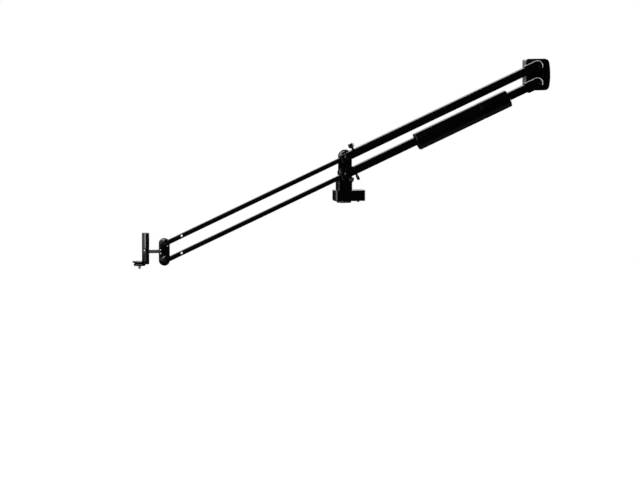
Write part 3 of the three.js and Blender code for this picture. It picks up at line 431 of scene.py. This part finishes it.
def studio_world():
    """White to the camera and plain to everything else. Reflections see a white backdrop behind the crane, a
    pale wall to the left and a dark room elsewhere: each glow is a smooth step of the cosine between the ray
    and the direction of its middle."""
    world = bpy.data.worlds.new("pale studio")
    bpy.context.scene.world = world
    world.use_nodes = True
    tree = world.node_tree
    rays = tree.nodes.new("ShaderNodeTexCoord").outputs["Generated"]
    path = tree.nodes.new("ShaderNodeLightPath")

    def glow(direction, full, none, low, high):
        """From high within full degrees of the direction down to low beyond none degrees."""
        dot = tree.nodes.new("ShaderNodeVectorMath")
        dot.operation = "DOT_PRODUCT"
        tree.links.new(rays, dot.inputs[0])
        dot.inputs[1].default_value = Vector(direction).normalized()
        spread = add_node(tree, "ShaderNodeMapRange", From_Min=math.cos(math.radians(none)),
                          From_Max=math.cos(math.radians(full)), To_Min=low, To_Max=high)
        spread.interpolation_type = "SMOOTHSTEP"
        tree.links.new(dot.outputs["Value"], spread.inputs["Value"])
        return spread.outputs["Result"]

    def larger(first, second):
        most = tree.nodes.new("ShaderNodeMath")
        most.operation = "MAXIMUM"
        tree.links.new(first, most.inputs[0])
        tree.links.new(second, most.inputs[1])
        return most.outputs[0]

    backdrop = glow((0.2, 0.95, 0.24), full=14, none=28, low=0.003, high=1.0)
    wall = glow((-0.97, 0.1, 0.1), full=22, none=44, low=0.0, high=0.8)
    plain, white = 0.4, 1.0
    mirrored = add_node(tree, "ShaderNodeMix", A=plain)
    tree.links.new(path.outputs["Is Glossy Ray"], mirrored.inputs["Factor"])
    tree.links.new(larger(backdrop, wall), mirrored.inputs["B"])
    seen = add_node(tree, "ShaderNodeMix", B=white)
    tree.links.new(larger(path.outputs["Is Camera Ray"], path.outputs["Is Transmission Ray"]),
                   seen.inputs["Factor"])
    tree.links.new(mirrored.outputs["Result"], seen.inputs["A"])
    background = tree.nodes["Background"]
    background.inputs["Color"].default_value = (1, 1, 1, 1)
    tree.links.new(seen.outputs["Result"], background.inputs["Strength"])


def studio_floor():
    """A round of grey paper that shows white to the camera and keeps the crane's shadow."""
    radius, level = 2.4, -0.75
    turn = np.linspace(0, 2 * np.pi, 128, endpoint=False)
    rim = np.stack([radius * np.cos(turn), radius * np.sin(turn), np.full_like(turn, level)], -1)
    mesh = bpy.data.meshes.new("studio_floor")
    mesh.from_pydata(rim, [], [list(range(len(turn)))])
    paper = Finish("studio paper", (0.06, 0.06, 0.06), 0.9, ior=1.05)
    to_camera = paper.tree.nodes.new("ShaderNodeLightPath").outputs["Is Camera Ray"]
    paper.shader.inputs["Emission Color"].default_value = (1, 1, 1, 1)
    paper.tree.links.new(paper.between(to_camera, 0, 0.97), paper.shader.inputs["Emission Strength"])
    paper.colours(paper.noise(3, 2), (0.3, (0.058, 0.058, 0.058)), (0.7, (0.062, 0.062, 0.062)))
    mesh.materials.append(paper.material)
    add_object("studio_floor", mesh)


def softboxes():
    """Softboxes aimed at the crane: place, width and height in metres, and power in watts."""
    crane_middle = Vector((0, 0, 0.1))
    boxes = {"back softbox": ((0.3, 2.3, 2.4), 1.6, 1.2, 46),
             "key softbox": ((-1.95, -2.55, 0.7), 2.0, 2.2, 104),
             "high softbox": ((-2.1, -0.7, 2.5), 0.8, 0.8, 32),
             "rim softbox": ((3.4, 0.75, 0.5), 0.9, 1.8, 30)}
    for name, (place, width, height, power) in boxes.items():
        lamp = bpy.data.lights.new(name, "AREA")
        lamp.shape = "RECTANGLE"
        lamp.size, lamp.size_y = width, height
        lamp.energy = power
        aim(add_object(name, lamp), place, crane_middle - Vector(place))


bpy.context.scene.view_settings.view_transform = "Standard"
camera_view()
studio_world()
studio_floor()
softboxes()


# Base

def mount_ring():
    """A turned ring with a lightly hollowed seat face and a knurled rim."""
    far_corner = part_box("mount_ring")[1]
    radius, top, bore = far_corner[0], far_corner[2], 4.8 * mm
    grip_low, grip_high, step = 1.6 * mm, top - 1.6 * mm, 0.01 * mm
    profile = np.concatenate([
        in_mm([(0, 0.3), (0.3, 0)], bore),
        in_mm([(-3.8, 0), (-3.6, 0.5), (-1.8, 0.5), (-1.6, 0), (-0.9, 0), (-0.2, 0.4), (0, 1.1)], radius),
        [(radius, grip_low), (radius, grip_low + step), (radius, grip_high - step), (radius, grip_high)],
        in_mm([(0, -0.9), (-0.2, -0.3), (-0.7, 0)], radius, top),
        in_mm([(0.3, 0), (0, -0.3)], bore, top)])
    rim = knurl(96, 0.35 * mm, grip_low + step / 2, grip_high - step / 2)
    rings = revolved(profile, (0, 0, 0), up, rim, 384)
    settle(skin("mount_ring_knurled", [rings], wrapped=True), "base", turned_black,
           ("mount_ring",))


def base_box():
    """The housing, its bottom plate with screws, and under them the domed button and a small plug."""
    eased("base_housing", 0.5 * mm, "base", base_coat, segments=3)
    eased("base_bottom_plate", 0.25 * mm, "base", base_coat)

    low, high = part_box("power_button")
    centre_x, centre_y = (low[0] + high[0]) / 2, (low[1] + high[1]) / 2
    r, flange, flange_level = 4.3 * mm, (high[0] - low[0]) / 2, 7.8 * mm
    head = revolved([(0.35 * r, 0), (0.7 * r, 0.12 * mm), (0.92 * r, 0.5 * mm), (r, 1.1 * mm),
                     (r, flange_level), (flange, flange_level + 0.01 * mm), (flange, high[2] - low[2])],
                    (centre_x, centre_y, low[2]), up, points=64)
    settle(skin("power_button_domed", [head]), "power_button", knob_plastic,
           ("power_button",))
    plug_x, plug_level = centre_x - 8.9 * mm, 6.8 * mm
    plug = revolved(in_mm([(1.2, -1.7), (2.1, -1.5), (2.5, -0.9), (2.6, 0.1)]),
                    (plug_x, centre_y, plug_level), up, points=48)
    settle(skin("socket_plug", [plug]), "base", plug_rubber)

    low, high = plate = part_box("base_bottom_plate")
    inset, side_x = 8 * mm, (low[0] + high[0]) / 2 + 12 * mm
    places = inset_corners(plate, 0, 1, inset)
    places += [(side_x, low[1] + 0.6 * inset), (side_x, high[1] - 0.6 * inset)]
    socket_screws("bottom_plate_screws", [(x, y, low[2]) for x, y in places], -up, "base",
                  radius=2.2 * mm, rise=0.8 * mm)


mount_ring()
base_box()


# Column

def column():
    """The column's body and its back cover with screws."""
    eased("column_body", 0.35 * mm, "column", column_coat)
    eased("column_back_cover", 0.4 * mm, "column", bush_plastic)
    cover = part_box("column_back_cover")
    socket_screws("back_cover_screws", [(x, cover[1][1], z) for x, z in inset_corners(cover, 0, 2, 4.5 * mm)],
                  north, "column", radius=1.9 * mm, rise=0.8 * mm)


def gearmotor():
    """The barrel behind the lower pivot: a socket, a plain body, a rim, cooling grooves and an end cap with
    four screws. The grooves are the square of half of one less the cosine of five turns."""
    near, tail = (corner[1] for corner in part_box("tilt_gearmotor"))
    share = np.linspace(0, 1, 41)
    grooved = 14 * mm - 0.7 * mm * (0.5 - 0.5 * np.cos(2 * np.pi * 5 * share)) ** 2
    profile = np.concatenate([
        in_mm([(8.3, 12.3), (8.3, 0.4), (8.7, 0), (15.9, 0), (16.3, 0.4)], height=near),
        in_mm([(16.3, -12), (19.6, -11.99), (20, -11.6), (20, -8.5), (19.4, -8)], height=tail),
        np.stack([grooved, tail - 8 * mm + share * 6.4 * mm], -1),
        in_mm([(13.6, -1.2), (13, -0.3), (12.2, 0), (6, 0), (5.6, -0.6)], height=tail)])
    rings = revolved(profile, lower_pivot, north)
    settle(skin("tilt_gearmotor_finned", [rings]), "column", turned_black,
           ("tilt_gearmotor",))
    screw_circle = 9.4 * mm
    socket_screws("gearmotor_screws",
                  [lower_pivot + screw_circle * (math.cos(t) * east + math.sin(t) * up) + tail * north
                   for t in np.radians([45, 135, 225, 315])],
                  north, "column", radius=1.7 * mm, rise=0.7 * mm)


column()
gearmotor()


# Arms

def edge_highlight(side, pivot):
    """A painted highlight along a lug's top and round its end: a narrow pale strip on the lit part of its
    chamfer, left off the shaded lower side. Its line runs straight along the top, then as an arc a little
    wider than the lug, from 90 degrees down to 44 below the arm. Its width grows by the cosine of that angle.
    It slants back towards its outer edge."""
    radius, face = 20.4 * mm, arm_plane - tube_half_depth - 0.35 * mm
    straight = np.linspace(tube_end + 3 * mm, rear_reach, 12)[:-1]
    turn = np.radians(np.linspace(90, -44, 48))
    s = np.concatenate([straight, rear_reach + 0 * turn])
    normal = np.concatenate([np.tile([0, 1.0], (len(straight), 1)),
                             np.stack([np.cos(turn), np.sin(turn)], -1)])
    width = (1.8 + 1.5 * np.clip(normal[:, 0], 0, 1)) * mm
    section = ((radius - width, 0.05 * mm), (radius - 0.6 * width, -0.05 * mm),
               (radius + 0.05 * mm, 0.7 * width), (radius - width, 0.7 * width))
    rings = [on_arm((s + r * normal[:, 0])[:, None], (r * normal[:, 1])[:, None],
                    (face + y + 0 * s)[:, None], pivot) for r, y in section]
    settle(skin(f"{side}_lug_bare_edge", [np.stack(rings, 1)], angle=25), f"{side}_arm", highlight_and_bare_steel)


def arm_set(side, pivot, screw_axis):
    """One arm's rear tube with its mouth bush, lug, axle, domed hub cap and clamp boss, and the front tube
    with its eye."""
    body, slide = f"{side}_arm", f"{side}_slide"
    eased(f"{side}_rear_tube", 0.25 * mm, body, tube_black, angle=40)
    eased(f"{side}_mouth_bush", 0.4 * mm, body, bush_plastic)
    eased(f"{side}_rear_lug", 0.7 * mm, body, fitting_coat, segments=3)
    # Painted highlight: a pale strip on the lit top and end of the lug's chamfer
    edge_highlight(side, pivot)
    eased(f"{side}_pivot_axle", 0.3 * mm, body, pin_black)
    cap_seat = arm_plane - tube_half_depth - 0.3 * mm
    cap = revolved(in_mm([(2.6, 1.3), (2.7, 2.2), (3.1, 2.55), (5.2, 2.6), (7.4, 2.25), (9, 1.6), (9.8, 0.8),
                          (10, 0.2), (10, -0.2)]), pivot + cap_seat * north, towards_viewer)
    settle(skin(f"{side}_hub_cap_domed", [cap]), body, fitting_coat, (f"{side}_hub_cap",))
    boss = revolved(in_mm([(3.4, 0), (3.4, 1.4), (3.7, 1.7), (4.9, 1.7), (5.4, 1.3), (5.5, 0)],
                          height=tube_half_height - 0.2 * mm), on_arm(clamp_place, pivot=pivot), screw_axis)
    settle(skin(f"{side}_clamp_boss", [boss], wrapped=True), body, fitting_coat)
    eased(f"{side}_front_tube", 0.2 * mm, slide, tube_black, angle=40)
    eased(f"{side}_front_eye", 0.4 * mm, slide, fitting_coat)


arm_set("lower", lower_pivot, -across)
arm_set("upper", upper_pivot, across)
# Painted highlight: a pale arc on the lit upper-left rim of the upper flange
crescent("upper_flange_highlight", "upper_arm", upper_pivot + (arm_plane + tube_half_depth + 0.3 * mm) * north,
         radius=20.2 * mm, first=94, last=166, width=1.6 * mm)


def flattened(share):
    """A sine or cosine raised to 2/5 with its sign kept, which squares a circle off."""
    return np.sign(share) * np.abs(share) ** (2 / 5)


def thumbscrews():
    """Each head is a stack of rings along the screw: at a height t from nought to one its half length swells
    a little and draws in at both ends, and a ring is the curve |x/a|^5 + |y/b|^5 = 1. The upper head's outer
    end is a pale tip, a painted highlight for the light on that side, made as a stack of the same rings held
    between two lengths."""
    turn = np.linspace(0, 2 * np.pi, 96, endpoint=False)
    base_height, height, tip_start = 21.7 * mm, 15.3 * mm, 5.4 * mm
    t = 0.5 - 0.5 * np.cos(np.linspace(0, np.pi, 26))
    ends = np.sqrt(np.clip(1 - np.abs(2 * t - 1) ** 8, 0, 1))
    length = (8.6 + 1.1 * np.sin(np.pi * t) + 1.2 * ends) * mm
    depth = (3.0 + 0.3 * np.sin(np.pi * t) + 1.2 * ends) * mm
    x = length[:, None] * flattened(np.cos(turn))
    y = depth[:, None] * flattened(np.sin(turn))
    rise = base_height + height * t[:, None] + 0 * x
    stem = in_mm([(2.2, 9.5), (3, 10.1), (3, 16.4), (4.2, 16.6), (4.4, 17), (4.4, 21.6), (3.8, 22.2)])
    for side, pivot, outward, first in (("upper", upper_pivot, across, along),
                                        ("lower", lower_pivot, -across, north)):
        second = np.cross(outward, first)
        place = on_arm(clamp_place, pivot=pivot)
        dark = np.minimum(x, tip_start) if side == "upper" else x
        head = to_world(np.stack([dark, y, rise], -1), place, first, second, outward)
        settle(skin(f"{side}_thumbscrew_winged", [head, revolved(stem, place, outward, points=72)]),
               f"{side}_thumbscrew", knob_plastic, (f"{side}_thumbscrew",))
        # Painted highlight: the upper head's outer end is a pale tip where light falls
        if side == "upper":
            tip = np.stack([np.maximum(x, tip_start + 0.1 * mm), y, rise], -1)
            settle(skin("thumbscrew_highlight_tip", [to_world(tip, place, first, second, outward)]),
                   "upper_thumbscrew", highlight_tip_plastic)


thumbscrews()


def hand_knob(name, knob, centre, axis, radius, length, count, depth, shaft, shaft_end, cap_share=0.27):
    """A lobed knob on a plain screw: a turned profile with a crowned face, its rim waved in lobes of a depth
    given as a share of its radius, and a steel cap whose radius is a share of the knob's."""
    crown = [(0.3 * radius, length), (0.62 * radius, length - 0.3 * mm), (0.86 * radius, length - 1.3 * mm),
             (0.96 * radius, length - 2.6 * mm), (radius, length - 4 * mm), (radius, 2.2 * mm),
             (0.95 * radius, 0.8 * mm), (0.86 * radius, 0)]
    lobed = revolved(crown, centre, axis, lobes(count, depth), 160)
    stem = revolved([(shaft, 0.5 * mm), (shaft, shaft_end)], centre, axis, points=40)
    settle(skin(name, [lobed, stem]), knob, knob_plastic, (knob,))
    cap_radius = cap_share * radius
    cap = revolved([(0.4 * cap_radius, length + 0.5 * mm), (0.85 * cap_radius, length + 0.4 * mm),
                    (cap_radius, length - 0.6 * mm)], centre, axis, points=48)
    settle(skin(f"{name}_cap", [cap]), knob, bright_steel)


tilt_knob_drop, tilt_knob_plane = tube_half_height + 11 * mm, -33.7 * mm
tilt_knob_centre = lower_pivot + 8 * mm * along - tilt_knob_drop * across + tilt_knob_plane * north
hand_knob("tilt_lock_lobed", "tilt_lock_knob", tilt_knob_centre, towards_viewer, radius=10.5 * mm,
          length=13.5 * mm, count=5, depth=0.15, shaft=4.6 * mm, shaft_end=-2.5 * mm, cap_share=0.52)
hand_knob("weight_lock_lobed", "weight_lock_knob",
          on_arm(weight_knob_place, y=arm_plane + weight_half + 1 * mm), north, radius=9 * mm,
          length=8.5 * mm, count=6, depth=0.12, shaft=3 * mm, shaft_end=-15 * mm)


# Front head

rod_low, rod_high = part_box("head_rod")
rod_middle = np.array([0, (rod_low[1] + rod_high[1]) / 2, (rod_low[2] + rod_high[2]) / 2])
plate_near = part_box("front_plate")[0][1]
post_foot = np.array([front_pivot[0] - 67.3 * mm, rod_middle[1], 0])
seat_foot = post_foot - 21.7 * mm * east


def front_pins():
    """The front plate, and on its two pivots a pin with a dished head on a plain stem."""
    eased("front_plate", 0.25 * mm, "front_head", fitting_coat)
    profile = in_mm([(2.4, -1.1), (2.4, -0.2), (2.7, 0), (5.6, 0), (6.3, -0.4), (6.5, -1), (6.5, -1.8),
                     (4.2, -1.81), (4.2, -28.2)])
    for side, rise in arm_rises.items():
        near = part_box(f"{side}_front_axle")[0][1]
        rings = revolved(profile, front_pivot + rise * up + near * north, towards_viewer)
        settle(skin(f"{side}_front_pin", [rings]), "front_head", pin_black,
               (f"{side}_front_axle",))


def head_rod():
    """The turned rod and the two small screws that clamp it in the plate."""
    rod = revolved(rolled(6.35 * mm, rod_low[0], rod_high[0], 0.6 * mm), rod_middle, east)
    settle(skin("head_rod_turned", [rod]), "front_head", rod_steel, ("head_rod",))
    # Bare steel heads in a pale finish, which also paints the glints on them
    socket_screws("rod_clamp_screws",
                  [(front_pivot[0] - 15 * mm, plate_near, rod_middle[2] + d * mm) for d in (-6.8, 5.8)],
                  towards_viewer, "front_head", radius=2 * mm, rise=0.6 * mm, material=highlight_and_bare_steel)


def front_highlights_and_screw():
    """Painted highlights on the lit rims of the two front pivots, and the small screw in the upper eye."""
    for side, rise in arm_rises.items():
        # Painted highlights: pale arcs on the lit upper-left rims of the front pivots
        crescent(f"{side}_pivot_highlight", "front_head", front_pivot + plate_near * north + rise * up,
                 radius=14.5 * mm, first=76, last=138, width=1.35 * mm)
    eye_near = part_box("upper_front_eye")[0][1]
    # A bare steel head in a pale finish, which also paints the glint on it
    socket_screws("eye_screw",
                  [front_pivot + 7.1 * mm * east + (pivot_spacing - 7.8 * mm) * up + eye_near * north],
                  towards_viewer, "upper_slide", radius=1.7 * mm, rise=0.5 * mm, material=highlight_and_bare_steel)


def grip_post():
    """The post's turned grip with two shallow grooves and a small screw, and under it the clamp and the
    bracket."""
    low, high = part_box("post_grip")
    r, foot, top = (high[0] - low[0]) / 2, low[2], high[2]
    groove = in_mm([(0, 0), (-0.6, 0.3), (-0.6, 1.1), (0, 1.4)], r)
    lower_groove, upper_groove = foot + 3 * mm, top - 5 * mm
    profile = np.concatenate([
        [(9.4 * mm, foot)], in_mm([(-1, 0), (-0.2, 0.4), (0, 1.2)], r, foot),
        groove + [0, lower_groove], [(r, lower_groove + 1.41 * mm), (r, upper_groove - 0.01 * mm)],
        groove + [0, upper_groove], in_mm([(0, -2), (-0.4, -1), (-1.4, -0.3), (-2.6, 0)], r, top),
        [(3 * mm, top - 0.2 * mm)]])
    settle(skin("post_grip_turned", [revolved(profile, post_foot, up)]), "front_head",
           post_black, ("post_grip",))
    outward = np.array([-0.49, -0.872, 0])
    # A bare steel head in a pale finish, which also paints the light mark on the post
    socket_screws("post_screw", [post_foot + r * outward + (rod_middle[2] + 5.5 * mm) * up], outward,
                  "front_head", radius=2.3 * mm, rise=0.6 * mm, material=highlight_and_bare_steel)
    eased("post_clamp", 0.4 * mm, "front_head", turned_black)
    eased("head_bracket", 0.4 * mm, "front_head", bracket_coat)


def head_stud():
    """The stud below the lock wheel. Its thread falls by its depth as a triangle wave of the height over the
    pitch less the turn."""
    low, high = (corner[2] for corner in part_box("head_stud"))
    pitch, depth = 1.5875 * mm, 0.75 * mm
    thread_low, thread_high = low + 0.8 * mm, high - 3 * mm
    heights = np.arange(thread_low, thread_high, pitch / 8)

    def thread(turn, radius, height):
        phase = (height / pitch - turn / (2 * np.pi)) % 1
        wave = np.clip(1.25 * np.abs(2 * phase - 1) - 0.12, 0, 1)
        threaded = (height > thread_low - 0.1 * mm) & (height < thread_high + 0.1 * mm)
        return radius - depth * wave * threaded

    profile = np.concatenate([
        in_mm([(3.2, 0), (3.9, 0.5)], height=low), np.stack([np.full_like(heights, 4.76 * mm), heights], -1),
        in_mm([(4.76, -2), (8, -1.99), (8, -0.4), (7.6, 0), (3.2, 0), (3, -1.4)], height=high)])
    stud = revolved(profile, seat_foot, up, thread)
    settle(skin("head_stud_threaded", [stud], angle=50), "front_head", bright_steel, ("head_stud",))


def lock_wheel():
    """The head's lock wheel. Its rim is scalloped: it loses 0.8 mm times a power of half of one less the
    cosine of 24 times the angle, fading out 4.5 mm inside the rim."""
    low, high = (corner[2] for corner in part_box("head_lock_wheel"))
    bore, r, fade = 5.1 * mm, 21 * mm, 4.5 * mm
    profile = np.concatenate([
        in_mm([(0, 0.3), (0.3, 0)], bore, low),
        in_mm([(-3, 0), (-1.2, 0.3), (-0.3, 1.1), (0, 2.2)], r, low),
        in_mm([(0, -2.2), (-0.3, -1.1), (-1.2, -0.3), (-3, 0)], r, high),
        in_mm([(0.3, 0), (0, -0.3)], bore, high)])

    def scallops(turn, radius, height):
        share = np.clip((radius - r + fade) / fade, 0, 1)
        return radius - 0.8 * mm * share * (0.5 - 0.5 * np.cos(24 * turn)) ** 1.6

    wheel = revolved(profile, seat_foot, up, scallops, 288)
    settle(skin("head_lock_wheel_scalloped", [wheel], wrapped=True), "head_lock_wheel",
           turned_black, ("head_lock_wheel",))


front_pins()
head_rod()
front_highlights_and_screw()
grip_post()
head_stud()
lock_wheel()


# Rear block

def rear_block():
    """The ballast between its two plates, the pivot pins' dished heads, and the far plate's screws."""
    eased("rear_near_plate", 0.3 * mm, "rear_block", fitting_coat)
    eased("rear_ballast", 0.5 * mm, "rear_block", ballast_cast)
    eased("rear_far_plate", 0.4 * mm, "rear_block", fitting_coat)
    head = in_mm([(3, -2), (3.1, -0.2), (3.4, 0), (7.2, 0), (7.8, -0.3), (8, -0.9)])
    for side, rise in arm_rises.items():
        near, far = (corner[1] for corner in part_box(f"{side}_rear_axle"))
        profile = np.concatenate([head, [(8 * mm, near - far)]])
        pin = revolved(profile, rear_pivot + rise * up + near * north, towards_viewer)
        settle(skin(f"{side}_rear_pin", [pin]), "rear_block", pin_black,
               (f"{side}_rear_axle",))
    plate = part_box("rear_far_plate")
    socket_screws("far_plate_screws", [(x, plate[1][1], z) for x, z in inset_corners(plate, 0, 2, 9 * mm)],
                  north, "rear_block", radius=2.8 * mm, rise=1.2 * mm)


rear_block()


# Counterweight

for part in ("weight_main", "weight_rear"):
    eased(part, 0.6 * mm, "counterweight", weight_coat, segments=3)
for part in ("weight_front_bush", "weight_rear_bush"):
    eased(part, 0.4 * mm, "counterweight", bush_plastic)


# Solids that keep their own mesh

for material, nodes in (
        (carrier_cast, ("bearing_carrier",)),
        (bright_steel, ("pan_bearing_lower", "pan_bearing_upper", "pan_motor", "pan_pinion", "pan_shaft",
                        "pan_gear", "upper_axle_nut")),
        (bush_plastic, ("battery_pack", "lower_slider_shoe", "upper_slider_shoe")),
        (bush_bronze, ("thrust_washer", "lower_pivot_bush", "upper_pivot_bush")),
        (post_steel, ("post_core",))):
    for node in nodes:
        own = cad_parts[node].data.materials
        own.clear()
        own.append(material)
